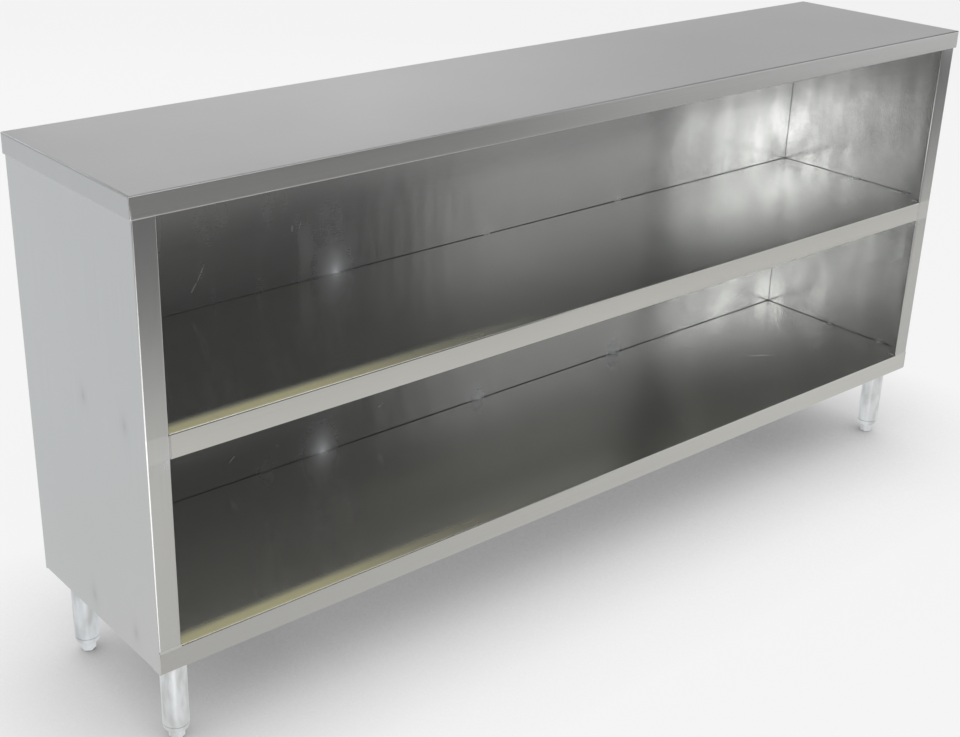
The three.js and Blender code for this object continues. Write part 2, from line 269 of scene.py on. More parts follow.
def waves(finish, normal, swell_height, buckle_height):
    """A surface direction that leans with the swells and the buckles of the sheet."""
    swells = finish.noise(SWELLS_PER_METRE, 1.0, (3.7, 0.9, 1.4))
    buckles = finish.noise(BUCKLES_PER_METRE, 1.5, (5.1, 3.3, 0.2))
    inputs = {"Height": swells, "Normal": normal, "Strength": 1.0, "Distance": swell_height}
    swelled = finish.add("Bump", inputs).outputs[0]
    inputs = {"Height": buckles, "Normal": swelled, "Strength": 1.0, "Distance": buckle_height}
    return finish.add("Bump", inputs).outputs[0]


print("strokes per metre across the grain:", CELLS_ACROSS)

# %% [markdown]
# Light spreads across the scratches of brushed steel and stays sharp along them. A bump map fine
# enough to do that would flicker, so the shader does it with its anisotropic setting, and the
# direction of the scratches is given to it as a tangent. The drawn scratches only vary the tone and
# the gloss a little, because a closer look shows them one by one. Where the sheet was rubbed by
# hand the new scratches cross the old ones, so there the spread is the same all round.

# %% Brushed stainless sheet
STROKE_DEPTH = 0.02 * MM
STROKE_ROUGHNESS = 0.03
CLOUD_ROUGHNESS = (-0.02, 0.04)
CLOUD_COLOUR = 0.4
RUBBED_ROUGHNESS = 0.05
STRAW_REFLECTION_MATT = 0.8
ONE_WAY = 0.6
ACROSS_THE_GRAIN = 0.25
WORKTOP_ROUGHNESS = 0.3


def brushed(finish, grain, roughness, wave=FLAT, tangent=None, masks=None, steel=STEEL_BRIGHT):
    """The brushed steel shader. The masks say where the sheet has each kind of mark."""
    masks = masks or {}
    metal = 1.0
    one_way = ONE_WAY
    strokes = strokes_along(finish, grain)
    clouds = finish.noise((3, 3, 3), 4.0)
    rough = finish.between(strokes, roughness - STROKE_ROUGHNESS, roughness + STROKE_ROUGHNESS)
    rough = finish.maths("ADD", rough, finish.between(clouds, *CLOUD_ROUGHNESS))
    colour = finish.tone(strokes, *steel)
    colour = finish.tone(finish.between(clouds, 0.0, CLOUD_COLOUR), colour, STEEL_CLOUDED)
    for mark in (kind for kind in MARKS if kind in masks):
        tint, rougher = MARKS[mark]
        colour = finish.tone(masks[mark], colour, tint)
        rough = finish.maths("MULTIPLY_ADD", masks[mark], rougher, rough)
    if "rubbed" in masks:
        rough = finish.maths("MULTIPLY_ADD", masks["rubbed"], RUBBED_ROUGHNESS, rough)
        one_way = finish.maths("MULTIPLY_ADD", masks["rubbed"], -ONE_WAY, ONE_WAY)
    # The halos lose their mirror and turn pale towards the middle: a painted highlight for the glint of
    # the polished spot
    if "polish_and_glint" in masks:
        metal = finish.maths("SUBTRACT", metal, masks["polish_and_glint"])
    # The straw band is partly matt, so its colour shows as a painted reflection
    if "straw" in masks:
        metal = finish.maths("MULTIPLY_ADD", masks["straw"], -STRAW_REFLECTION_MATT, metal)
    bump = finish.add("Bump", {"Height": strokes, "Strength": 0.15, "Distance": STROKE_DEPTH})
    inputs = {
        "Base Color": colour,
        "Roughness": rough,
        "Normal": waves(finish, bump.outputs[0], *wave),
        "Metallic": metal,
        "Anisotropic": one_way,
        "Anisotropic Rotation": ACROSS_THE_GRAIN,
        "Tangent": tangent or direction(finish, grain),
    }
    return finish.add("BsdfPrincipled", inputs).outputs[0]


def worktop_finish():
    finish = Finish("brushed_worktop")
    return finish.show(brushed(finish, GRAIN_ALONG_X, WORKTOP_ROUGHNESS))


print("worktop finish:", worktop_finish().name)

# %% [markdown]
# The shelves are tacked to the back and the sides with short welds, at an even pitch along the back.
# Each row is written down once, because the finish of the sheets and the weld beads both need it: a
# bead whose halo sits beside it would look wrong at once.

# %% Where the tack welds are
# The last number of each row darkens its rail towards the left end, as painted shade
MIDDLE_ROW = {"deck": middle_deck, "pitch": 0.352, "middle": 0.025, "fades_to": 0.2, "rail_shade": 0.0}
FLOOR_ROW = {"deck": floor_deck, "pitch": 0.378, "middle": 0.018, "fades_to": 0.6, "rail_shade": 0.3}
SIDE_WELDS = {"middle": (-0.005, -0.128), "floor": (0.012, -0.118)}


def weld_places(row):
    """The x of each weld of a row along the back."""
    return [row["middle"] + row["pitch"] * step for step in (-1, 0, 1)]


print("welds along the back:", len(weld_places(MIDDLE_ROW)), "and", len(weld_places(FLOOR_ROW)))

# %% [markdown]
# Each weld leaves a pale bluish halo where the heat and the polishing wheel met the sheet, and
# between the welds the joint stays open, as a thin dark line. Towards its middle the halo is also
# less of a mirror and pale, a painted highlight for the glint that the polished spot catches. A halo
# could be a thin disc laid on the sheet, but it has no edge, so it is drawn in the sheet's own
# finish. As the welds repeat, one wrapped distance finds the nearest of them, and a single mask
# draws the whole row.

# %% Halos and seams
SEAM_WIDTH = 1.0 * MM
MOTTLE = (60, 60, 60)
FADING = (-1.2, -1.8)


def away_from(finish, axis, place):
    """Distance along an axis from a place, with its sign."""
    return finish.maths("SUBTRACT", finish.part_of_place(axis), place)


def away_from_weld(finish, row):
    """Distance along X from the nearest weld of a row."""
    offset = away_from(finish, "X", row["middle"])
    steps = finish.maths("ROUND", finish.maths("DIVIDE", offset, row["pitch"]))
    nearest = finish.maths("MINIMUM", finish.maths("MAXIMUM", steps, -1), 1)
    return finish.maths("SUBTRACT", offset, finish.maths("MULTIPLY", nearest, row["pitch"]))


def halo(finish, across, height, width, reach):
    """1 at a weld, fading to 0 with a bright core and a long soft tail."""
    first = finish.maths("DIVIDE", across, width)
    second = finish.maths("DIVIDE", height, reach)
    squares = finish.maths("MULTIPLY_ADD", first, first, finish.maths("MULTIPLY", second, second))
    fading = finish.between(finish.noise(MOTTLE, 3.0), *FADING)
    return finish.maths("EXPONENT", finish.maths("MULTIPLY", finish.maths("SQRT", squares), fading))


def seam(finish, distance, strength=1.0):
    """The thin dark line where two sheets meet, closed up in places."""
    near = finish.maths("ABSOLUTE", distance)
    line = finish.maths("SUBTRACT", 1.0, finish.ramp(near, SEAM_WIDTH / 2, SEAM_WIDTH))
    closed = finish.between(finish.noise((14, 14, 14), 3.0, (2.2, 7.1, 3.4)), 0.1, 1.0)
    return finish.maths("MULTIPLY", finish.maths("MULTIPLY", line, closed), strength)


def wider_to_the_right(finish):
    """The joint at the back is tight at the left end of the cabinet and opens to the right."""
    return finish.between(finish.part_of_place("X"), 0.1, 1.0, -0.6, 0.4)


def row_halo(finish, row, height, width, reach):
    """The halos of a row of welds, of which the left one had the most heat."""
    left_weld = row["middle"] - row["pitch"]
    heat = finish.between(finish.part_of_place("X"), 1.0, row["fades_to"], left_weld, row["middle"])
    return finish.maths("MULTIPLY", halo(finish, away_from_weld(finish, row), height, width, reach), heat)


def either(finish, masks):
    """The strongest of several masks."""
    strongest = masks[0]
    for mask in masks[1:]:
        strongest = finish.maths("MAXIMUM", strongest, mask)
    return strongest


print("mask helpers ready, seams", SEAM_WIDTH / MM, "mm wide")

# %% [markdown]
# The back sheet also carries marks from handling: thin curved scuffs, a few short straight scratches
# and a haze of wiped polish at the left. Its left part is painted a little darker, as painted shade.
# On the right it was rubbed down by hand, in upright strokes that wipe out the grain of the belt,
# and the polish gets blotchy towards the corner. One painted picture could hold all of this, but it
# would fit only one size of sheet. Here bands cut out of slow noise give the curved lines, a second
# noise keeps them to a few patches, and ramps along the sheet say where each kind of mark begins
# and ends. The scratches are placed one by one.

# %% Marks of the back sheet
HAZE = 0.3
# How much darker the left end of the back is drawn, as painted shade, and where it fades out
HAZE_ENDS = (-0.4, -0.1)
LEFT_SHADE = 0.35
LEFT_SHADE_ENDS = (-0.4, 0.1)
RUBBED_FROM = (0.0, 0.3)
RUBBED_TO = (0.75, 0.5)
BLOTCHES = 0.18
BLOTCHED_FROM = (0.3, 0.85)
SCUFFS = 0.15
SCUFF_WIDTH = 0.004
SCRATCH_WIDTH = 1.1 * MM
# The middle of each scratch along X and Z, its length and its lean in degrees
SCRATCHES = (
    ((-0.598, 0.593), 34 * MM, 62),
    ((-0.612, 0.571), 20 * MM, 55),
    ((-0.401, 0.636), 16 * MM, 70),
    ((-0.417, 0.634), 13 * MM, 84),
    ((-0.553, 0.236), 18 * MM, 40),
    ((-0.226, 0.247), 15 * MM, 25),
)


def scratch(finish, centre, length, lean):
    """One short straight scratch, at a lean from level."""
    across = away_from(finish, "X", centre[0])
    up = away_from(finish, "Z", centre[1])
    cosine = math.cos(math.radians(lean))
    sine = math.sin(math.radians(lean))
    along = finish.maths("MULTIPLY_ADD", across, cosine, finish.maths("MULTIPLY", up, sine))
    beside = finish.maths("MULTIPLY_ADD", up, cosine, finish.maths("MULTIPLY", across, -sine))
    off_line = finish.ramp(finish.maths("ABSOLUTE", beside), SCRATCH_WIDTH / 4, SCRATCH_WIDTH)
    off_end = finish.ramp(finish.maths("ABSOLUTE", along), length / 4, length / 2)
    return finish.maths("SUBTRACT", 1.0, finish.maths("MAXIMUM", off_line, off_end))


def haze(finish):
    """Upright smears of wiped polish at the left."""
    smears = finish.ramp(finish.noise((16, 16, 5), 2.0, (1.1, 0.7, 3.9)), 0.5, 0.8)
    at_left = finish.between(finish.part_of_place("X"), HAZE, 0.0, *HAZE_ENDS)
    return finish.maths("MULTIPLY", smears, at_left)


def scuffs(finish):
    """Hairline scuffs in a few patches."""
    wander = finish.noise((9, 9, 9), 1.0, (4.2, 1.7, 0.6))
    distance = finish.maths("ABSOLUTE", finish.maths("SUBTRACT", wander, 0.5))
    line = finish.maths("SUBTRACT", 1.0, finish.ramp(distance, 0.0, SCUFF_WIDTH))
    patches = finish.ramp(finish.noise((4, 4, 4), 1.0, (0.3, 2.2, 5.1)), 0.55, 0.7)
    return finish.maths("MULTIPLY", finish.maths("MULTIPLY", line, patches), SCUFFS)


def rubbed(finish):
    """Broad upright strokes, to the right, where the sheet was rubbed down by hand."""
    strokes = finish.between(finish.noise((40, 40, 2), 2.0, (6.1, 0.8, 2.7)), 0.7, 1.0)
    place = finish.part_of_place("X")
    begins = finish.ramp(place, *RUBBED_FROM)
    zone = finish.maths("MINIMUM", begins, finish.ramp(place, *RUBBED_TO))
    return finish.maths("MULTIPLY", strokes, zone)


def blotches(finish):
    """Uneven polish, stronger to the right, where a hand hardly reaches into the corner."""
    clouds = finish.ramp(finish.noise((14, 14, 8), 3.0, (8.3, 2.6, 5.5)), 0.35, 0.65)
    reach = finish.between(finish.part_of_place("X"), 0.0, BLOTCHES, *BLOTCHED_FROM)
    return finish.maths("MULTIPLY", clouds, reach)


def shade_at_left(finish):
    """Painted shade: the back is drawn a little darker at the left."""
    return finish.between(finish.part_of_place("X"), LEFT_SHADE, 0.0, *LEFT_SHADE_ENDS)


print("scratches:", len(SCRATCHES))

# %% [markdown]
# The finish of the back sheet brings its marks together. The halos and the dark joints belong to its
# inner face alone. A second material for the outer face would need the mesh to be split, so the
# finish tells the faces apart by their place in the thickness of the sheet.

# %% Finish of the back sheet
BACK_ROUGHNESS = 0.15
BACK_HALO = (24 * MM, 40 * MM)


def back_finish():
    finish = Finish("brushed_back")
    width = finish.maths("ABSOLUTE", finish.part_of_place("X"))
    seams = [seam(finish, finish.maths("SUBTRACT", width, inside_wall))]
    halos = []
    for row in (MIDDLE_ROW, FLOOR_ROW):
        above = away_from(finish, "Z", row["deck"])
        halos.append(row_halo(finish, row, above, *BACK_HALO))
        seams.append(seam(finish, above, wider_to_the_right(finish)))
    inner = finish.maths("LESS_THAN", finish.part_of_place("Y"), inside_back + SHEET / 2)
    scratches = [scratch(finish, *mark) for mark in SCRATCHES]
    masks = {
        "polish_and_glint": finish.maths("MULTIPLY", either(finish, halos), inner),
        "scuffed": either(finish, [scuffs(finish), haze(finish), *scratches]),
        "rubbed": rubbed(finish),
        # The darker left end is painted shade; the blotches are uneven polish
        "dull_and_shade": either(finish, [shade_at_left(finish), blotches(finish)]),
        "seam": finish.maths("MULTIPLY", either(finish, seams), inner),
    }
    return finish.show(brushed(finish, GRAIN_ALONG_X, BACK_ROUGHNESS, BUCKLED, masks=masks))


print("back finish:", back_finish().name)

# %% [markdown]
# A straw-coloured band runs along the front edge, strongest at the left: a painted reflection of a
# yellowish thing in front of the cabinet. It is less of a mirror there, so that its colour shows.
# Dishes have worn the decks a little, more to the right, and the rail of the lower shelf is painted
# darker towards its left end, as painted shade. Each of these could be a material of its own, but
# on steel they run into each other without an edge, so they are masks in one finish, made from
# distances on the shelf.

# %% Finish of the shelves
SHELF_ROUGHNESS = 0.13
SHELF_POLISH_AND_GLINT = 0.6
SHELF_HALO = (14 * MM, 20 * MM)
SIDE_TACK_HALO = (8 * MM, 8 * MM)
# Width and ends of the painted straw reflection along the shelf fronts
STRAW_REFLECTION_WIDTH = 38 * MM
STRAW_REFLECTION_ENDS = (-0.1, -0.7)
WEAR = (0.2, 0.35)
WORN_FROM = (0.0, 0.5)
RAIL_SHADE_ENDS = (-0.8, 0.6)


# The straw band is a painted reflection along the front edge
def painted_straw_reflection(finish):
    """1 along the front edge of a shelf at the left, fading inwards and to the right."""
    near_edge = finish.ramp(away_from(finish, "Y", body_front), STRAW_REFLECTION_WIDTH, STRAW_REFLECTION_WIDTH / 3)
    at_left = finish.ramp(finish.part_of_place("X"), *STRAW_REFLECTION_ENDS)
    return finish.maths("MULTIPLY", near_edge, at_left)


def shelf_finish(name, row, side_places):
    finish = Finish(name)
    behind = away_from(finish, "Y", inside_back)
    width = finish.maths("ABSOLUTE", finish.part_of_place("X"))
    beside = finish.maths("SUBTRACT", width, inside_wall)
    halos = [row_halo(finish, row, behind, *SHELF_HALO)]
    for place in side_places:
        halos.append(halo(finish, away_from(finish, "Y", place), beside, *SIDE_TACK_HALO))
    seams = [seam(finish, behind, wider_to_the_right(finish)), seam(finish, beside)]
    place = finish.part_of_place("X")
    on_deck = finish.maths("GREATER_THAN", finish.part_of_place("Z"), row["deck"] - SHEET / 2)
    on_rail = finish.maths("SUBTRACT", 1.0, on_deck)
    worn = finish.maths("MULTIPLY", on_deck, finish.between(place, *WEAR, *WORN_FROM))
    # Painted shade: the lower rail is drawn darker towards its left end
    rail_shade = finish.between(place, row["rail_shade"], 0.0, *RAIL_SHADE_ENDS)
    shaded_rail = finish.maths("MULTIPLY", on_rail, rail_shade)
    masks = {
        "polish_and_glint": finish.maths("MULTIPLY", either(finish, halos), SHELF_POLISH_AND_GLINT),
        "scuffed": scuffs(finish),
        "dull_and_shade": either(finish, [worn, shaded_rail]),
        "straw": finish.maths("MULTIPLY", painted_straw_reflection(finish), on_deck),
        "seam": finish.maths("MULTIPLY", either(finish, seams), on_deck),
    }
    shader = brushed(finish, GRAIN_ALONG_X, SHELF_ROUGHNESS, masks=masks, steel=STEEL_WARM)
    return finish.show(shader)


print("shelf finish:", shelf_finish("brushed_middle_shelf", MIDDLE_ROW, SIDE_WELDS["middle"]).name)
print("shelf finish:", shelf_finish("brushed_floor_shelf", FLOOR_ROW, SIDE_WELDS["floor"]).name)

# %% [markdown]
# On the stiles the grain runs upright, but where a rail is welded on, the joint is ground flat and
# polished the way of the rail. Two materials would meet there in a hard line, so the tangent turns
# from one direction to the other inside that band. The stiles are painted a little darker than the
# panels, as painted shade, the inside of the right panel is blotchy like the back sheet beside it,
# and the heat of each tack weld inside shows through the sheet, as a faint dull spot outside. The
# halos inside and the ground corners are pale, polish with a painted highlight for its glint.

# %% Finish of the side panels
SIDE_ROUGHNESS = 0.17
BLEND = 3 * MM
SPOT_SIZE = (10 * MM, 16 * MM)
CORNER_SIZE = (14 * MM, 14 * MM)
WALL_HALO = 0.4
SIDE_POLISH_AND_GLINT = 0.4
HEAT_SPOT = 0.25
# How much darker the stile fronts are drawn, as painted shade
STILE_SHADE = 0.2


def side_finish():
    finish = Finish("brushed_sides")
    height = finish.part_of_place("Z")
    width = finish.maths("ABSOLUTE", finish.part_of_place("X"))
    front = finish.maths("LESS_THAN", finish.part_of_place("Y"), body_front + SHEET)
    above_edge = finish.ramp(height, shelf_low.z - BLEND, shelf_low.z + BLEND)
    below_edge = finish.ramp(height, middle_deck + BLEND, middle_deck - BLEND)
    band = finish.maths("MULTIPLY", finish.maths("MULTIPLY", above_edge, below_edge), front)
    mix = finish.add("Mix", {"Factor": band}, data_type="VECTOR")
    finish.join(direction(finish, GRAIN_UPRIGHT), mix.inputs[4])
    finish.join(direction(finish, GRAIN_ALONG_X), mix.inputs[5])
    inside = finish.maths("LESS_THAN", width, inside_wall + SHEET / 2)
    inside = finish.maths("MULTIPLY", inside, finish.maths("SUBTRACT", 1.0, front))
    outside = finish.maths("GREATER_THAN", width, inside_wall + SHEET / 2)
    behind = away_from(finish, "Y", inside_back)
    seams = [seam(finish, behind)]
    halos = []
    for row, places in ((MIDDLE_ROW, SIDE_WELDS["middle"]), (FLOOR_ROW, SIDE_WELDS["floor"])):
        above = away_from(finish, "Z", row["deck"])
        seams.append(seam(finish, above))
        for place in places:
            halos.append(halo(finish, away_from(finish, "Y", place), above, *SPOT_SIZE))
    spots = either(finish, halos)
    corner = finish.maths("SUBTRACT", width, stile_inner)
    # The ground corner where a rail meets a stile is pale: polish, with a painted highlight for its glint
    ground = halo(finish, corner, away_from(finish, "Z", shelf_low.z), *CORNER_SIZE)
    polish_and_glint = finish.maths("MULTIPLY", spots, finish.maths("MULTIPLY", inside, WALL_HALO))
    heat_spots = finish.maths("MULTIPLY", finish.maths("MULTIPLY", spots, outside), HEAT_SPOT)
    # Painted shade: the stile fronts are drawn darker than the panels
    shaded_stiles = finish.maths("MULTIPLY", finish.maths("SUBTRACT", front, band), STILE_SHADE)
    hand_polish = finish.maths("MULTIPLY", blotches(finish), inside)
    masks = {
        "polish_and_glint": finish.maths("MULTIPLY", either(finish, [polish_and_glint, ground]), SIDE_POLISH_AND_GLINT),
        "dull_and_shade": either(finish, [heat_spots, shaded_stiles, hand_polish]),
        "seam": finish.maths("MULTIPLY", either(finish, seams), inside),
    }
    shader = brushed(finish, GRAIN_UPRIGHT, SIDE_ROUGHNESS, BUCKLED, mix.outputs[1], masks)
    return finish.show(shader)


print("side finish:", side_finish().name)

# %% [markdown]
# The stiffeners under the sheets are left as they came from the mill, dull and slightly mottled.
# The sockets, grub screws and inserts are duller still, with the grain of a casting. They are seen
# only from below, so one noise for each finish is enough: it varies the colour and the gloss
# together, as the surface of raw steel does.

# %% Finishes of the hidden pieces
MILL_STEEL = ((0.38, 0.385, 0.39, 1), (0.5, 0.5, 0.5, 1))
CAST_STEEL = ((0.3, 0.3, 0.3, 1), (0.44, 0.44, 0.43, 1))
CAST_GRAIN_DEPTH = 0.1 * MM


def mill_finish():
    finish = Finish("mill_sheet")
    mottle = finish.noise((40, 40, 40), 4.0)
    colour = finish.tone(mottle, *MILL_STEEL)
    rough = finish.between(mottle, 0.38, 0.52)
    inputs = {"Base Color": colour, "Roughness": rough, "Metallic": 1.0}
    return finish.show(finish.add("BsdfPrincipled", inputs).outputs[0])


def cast_finish():
    finish = Finish("cast_socket_steel")
    grains = finish.noise((900, 900, 900), 2.0)
    colour = finish.tone(grains, *CAST_STEEL)
    bump = finish.add("Bump", {"Height": grains, "Strength": 0.5, "Distance": CAST_GRAIN_DEPTH})
    rough = finish.between(grains, 0.45, 0.65)
    inputs = {"Base Color": colour, "Roughness": rough, "Metallic": 1.0, "Normal": bump.outputs[0]}
    return finish.show(finish.add("BsdfPrincipled", inputs).outputs[0])


print("hidden finishes:", mill_finish().name, cast_finish().name)

# %% [markdown]
# The legs are drawn tube, polished round and round on a lathe belt, so their grain circles the
# tube. A texture wrapped round each tube would need its own layout, so the tangent is worked out
# instead, as the cross product of the upright axis and the surface direction. Handling has left dull
# smears on the polish. The stem of each foot has a thread, which is too fine to be worth cutting in
# the mesh, so a wave along its height gives the ridges.

# %% Finish of the legs and feet
LEG_STEEL = ((0.85, 0.875, 0.9, 1), (0.94, 0.97, 1.0, 1))
LEG_SMEAR = (0.45, 0.45, 0.44, 1)
LEG_ROUGHNESS = (0.18, 0.26)
LEG_CLOUDS = (-0.03, 0.08)
LEG_ONE_WAY = 0.93
RING_DEPTH = 0.03 * MM
THREAD_PITCH = 1.8 * MM
THREAD_DEPTH = 0.6 * MM
STEM_START = 28 * MM


def round_the_tube(finish):
    """The direction that circles an upright tube."""
    normal = finish.add("NewGeometry").outputs["Normal"]
    inputs = {0: direction(finish, GRAIN_UPRIGHT), 1: normal}
    return finish.add("VectorMath", inputs, operation="CROSS_PRODUCT").outputs[0]


def thread_ridges(finish, normal):
    """A surface direction with the ridges of a thread on the stem of a foot."""
    height = finish.part_of_place("Z")
    turn = finish.maths("SINE", finish.maths("MULTIPLY", height, 2 * math.pi / THREAD_PITCH))
    on_stem = finish.maths("GREATER_THAN", height, STEM_START)
    ridges = finish.maths("MULTIPLY", turn, on_stem)
    inputs = {"Height": ridges, "Normal": normal, "Strength": 1.0, "Distance": THREAD_DEPTH}
    return finish.add("Bump", inputs).outputs[0]


def leg_finish(name, threaded):
    finish = Finish(name)
    rings = finish.noise((30, 30, 1500), 3.0)
    clouds = finish.noise((25, 25, 12), 4.0)
    smears = finish.ramp(finish.noise((45, 45, 16), 2.0, (0.9, 4.4, 1.8)), 0.35, 0.7)
    colour = finish.tone(rings, *LEG_STEEL)
    colour = finish.tone(finish.maths("MULTIPLY", smears, 0.5), colour, LEG_SMEAR)
    rough = finish.between(rings, *LEG_ROUGHNESS)
    rough = finish.maths("ADD", rough, finish.between(clouds, *LEG_CLOUDS))
    bump = finish.add("Bump", {"Height": rings, "Strength": 0.2, "Distance": RING_DEPTH}).outputs[0]
    if threaded:
        bump = thread_ridges(finish, bump)
    inputs = {
        "Base Color": colour,
        "Roughness": rough,
        "Normal": bump,
        "Metallic": 1.0,
        "Anisotropic": LEG_ONE_WAY,
        "Anisotropic Rotation": ACROSS_THE_GRAIN,
        "Tangent": round_the_tube(finish),
    }
    return finish.show(finish.add("BsdfPrincipled", inputs).outputs[0])


print("leg finishes:", leg_finish("polished_leg", False).name, leg_finish("turned_foot", True).name)

# %% [markdown]
# Each solid takes the finish of the real piece. The sheets differ from each other, so they are
# listed one by one. The legs and what is in them come in fours, one at each corner, so for those
# the start of the name is enough.

# %% Which piece has which finish
FINISH_OF = {
    "worktop": "brushed_worktop",
    "back_panel": "brushed_back",
    "middle_shelf": "brushed_middle_shelf",
    "bottom_shelf": "brushed_floor_shelf",
    "side_panel_left": "brushed_sides",
    "side_panel_right": "brushed_sides",
    "worktop_channel": "mill_sheet",
    "top_front_rail": "mill_sheet",
    "middle_shelf_channel": "mill_sheet",
    "bottom_shelf_channel": "mill_sheet",
    "leg_channel_left": "mill_sheet",
    "leg_channel_right": "mill_sheet",
}
FINISH_OF_FAMILY = {
    "leg_socket": "cast_socket_steel",
    "socket_screw": "cast_socket_steel",
    "foot_insert": "cast_socket_steel",
    "leg_tube": "polished_leg",
    "foot": "turned_foot",
}


def finish_name(node_name):
    if node_name in FINISH_OF:
        return FINISH_OF[node_name]
    family = max((f for f in FINISH_OF_FAMILY if node_name.startswith(f)), key=len)
    return FINISH_OF_FAMILY[family]


print("finishes in use:", sorted({finish_name(name) for name in nodes}))

# %% [markdown]
# The solids arrive as loose triangles with hard shading, while the edges of cut and folded sheet
# catch the light on a narrow rounded line. The mesh could be edited, but it belongs to the CAD part.
# Modifiers leave it as it is: they join the triangles, drop the flat seams, take a hair off the cut
# edges and smooth the bends.

# %% Dress the solids
JOIN_WITHIN = 0.01 * MM
FLAT_WITHIN = math.radians(0.5)
SHARP_FROM = math.radians(40)
BROKEN_EDGE = 0.25 * MM


def smooth_shading(piece):
    """Joins the triangles and smooths the bends while flat faces stay flat."""
    for face in piece.data.polygons:
        face.use_smooth = True
    weld = piece.modifiers.new("join_triangles", "WELD")
    weld.merge_threshold = JOIN_WITHIN
    flat = piece.modifiers.new("drop_flat_seams", "DECIMATE")
    flat.decimate_type = "DISSOLVE"
    flat.angle_limit = FLAT_WITHIN
    edges = piece.modifiers.new("broken_edges", "BEVEL")
    edges.width = BROKEN_EDGE
    edges.segments = 2
    edges.limit_method = "ANGLE"
    edges.angle_limit = SHARP_FROM
    edges.harden_normals = False
    shading = piece.modifiers.new("even_shading", "WEIGHTED_NORMAL")
    shading.weight = 100
    shading.keep_sharp = True


for name, node in nodes.items():
    node.data.materials[0] = bpy.data.materials[finish_name(name)]
    smooth_shading(node)
print("dressed", len(nodes), "solids")

# %% [markdown]
# A weld is a short bead of wire that melted and set in ripples. A stretched ball would be too even,
# so each bead is a row of rings whose size swells and ripples along its length, skinned into one
# closed body. The random numbers are seeded, so the beads are the same each time.

# %% Build a row of weld beads
BEAD_STEPS = 10
BEAD_SIDES = 8
RIPPLE_HEIGHT = 0.16
RIPPLE_TURN = 2.2
BLUNT_END = 0.02
chance = random.Random(11)


def bead_ring(shape, centre, along, radius):
    """One ring of points square to the bead."""
    across = Vector((-along.y, along.x, 0))
    ring = []
    for side in range(BEAD_SIDES):
        angle = 2 * math.pi * side / BEAD_SIDES
        offset = math.cos(angle) * across + math.sin(angle) * Vector((0, 0, 1))
        ring.append(shape.verts.new(centre + radius * offset))
    return ring


def add_bead(shape, centre, along, length, radius):
    """One rippled bead, closed at both ends."""
    rings = []
    phase = chance.uniform(0, math.pi)
    for step in range(BEAD_STEPS + 1):
        share = step / BEAD_STEPS
        swell = math.sqrt(max(1 - (2 * share - 1) ** 2, BLUNT_END))
        ripple = 1 + RIPPLE_HEIGHT * math.sin(phase + step * RIPPLE_TURN)
        middle = centre + along * length * (share - 0.5)
        rings.append(bead_ring(shape, middle, along, radius * swell * ripple))
    for first, second in zip(rings, rings[1:]):
        for side in range(BEAD_SIDES):
            after = (side + 1) % BEAD_SIDES
            shape.faces.new((first[side], first[after], second[after], second[side]))
    shape.faces.new(list(reversed(rings[0])))
    shape.faces.new(rings[-1])


def weld_set(name, beads):
    """One object from a list of beads: (centre, along, length, radius)."""
    shape = bmesh.new()
    for bead in beads:
        add_bead(shape, *bead)
    bmesh.ops.recalc_face_normals(shape, faces=shape.faces)
    mesh = bpy.data.meshes.new(name)
    shape.to_mesh(mesh)
    shape.free()
    for face in mesh.polygons:
        face.use_smooth = True
    piece = bpy.data.objects.new(name, mesh)
    bpy.context.scene.collection.objects.link(piece)
    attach(piece, CABINET)
    return piece


print("bead helper ready")

# %% [markdown]
# Four sets of beads hold the cabinet together: tacks behind the shelves, stitches along the
# channels, stitches round the leg sockets, and a spot at the foot of each folded lip. Their places
# could be picked by eye in the viewport, but worked out from the boxes of the solids they sit on the
# seams exactly. Each set is one object, as all its beads are alike and none of them moves.

# %% Where the welds go
ALONG_X = Vector((1, 0, 0))
ALONG_Y = Vector((0, 1, 0))
TACK_LENGTH = 13 * MM
TACK_RADIUS = 1.1 * MM
STITCH_LENGTH = 22 * MM
STITCH_PITCH = 0.26
STILE_LIP = 18 * MM


def tack_beads(row, side_places):
    """The tacks between one shelf, the back and the sides."""
    beads = []
    for x in weld_places(row):
        length = TACK_LENGTH * chance.uniform(0.8, 1.6)
        beads.append((Vector((x, inside_back, row["deck"])), ALONG_X, length, TACK_RADIUS))
    for wall in (-inside_wall, inside_wall):
        for y in side_places:
            place = Vector((wall, y, row["deck"]))
            beads.append((place, ALONG_Y, TACK_LENGTH, TACK_RADIUS))
    return beads


def channel_stitches(node_name):
    """Stitches along both feet of a channel that runs along the cabinet."""
    low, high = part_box(node_name)
    count = int((high.x - low.x) / STITCH_PITCH)
    first = (low.x + high.x - (count - 1) * STITCH_PITCH) / 2
    beads = []
    for step in range(count):
        for y in (low.y, high.y):
            place = Vector((first + step * STITCH_PITCH, y, high.z))
            beads.append((place, ALONG_X, STITCH_LENGTH, TACK_RADIUS))
    return beads


def socket_stitches(node_name):
    """A stitch on each side of a leg socket's plate."""
    low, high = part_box(node_name)
    centre = (low + high) / 2
    beads = []
    for x in (low.x, high.x):
        beads.append((Vector((x, centre.y, high.z)), ALONG_Y, STITCH_LENGTH, TACK_RADIUS))
    for y in (low.y, high.y):
        beads.append((Vector((centre.x, y, high.z)), ALONG_X, STITCH_LENGTH, TACK_RADIUS))
    return beads


def lip_spots():
    """A spot where each stile's folded lip stands on a shelf."""
    beads = []
    for x in (-stile_inner, stile_inner):
        for deck in (middle_deck, floor_deck):
            place = Vector((x, body_front + STILE_LIP - TACK_LENGTH / 2, deck))
            beads.append((place, ALONG_Y, TACK_LENGTH, TACK_RADIUS))
    return beads


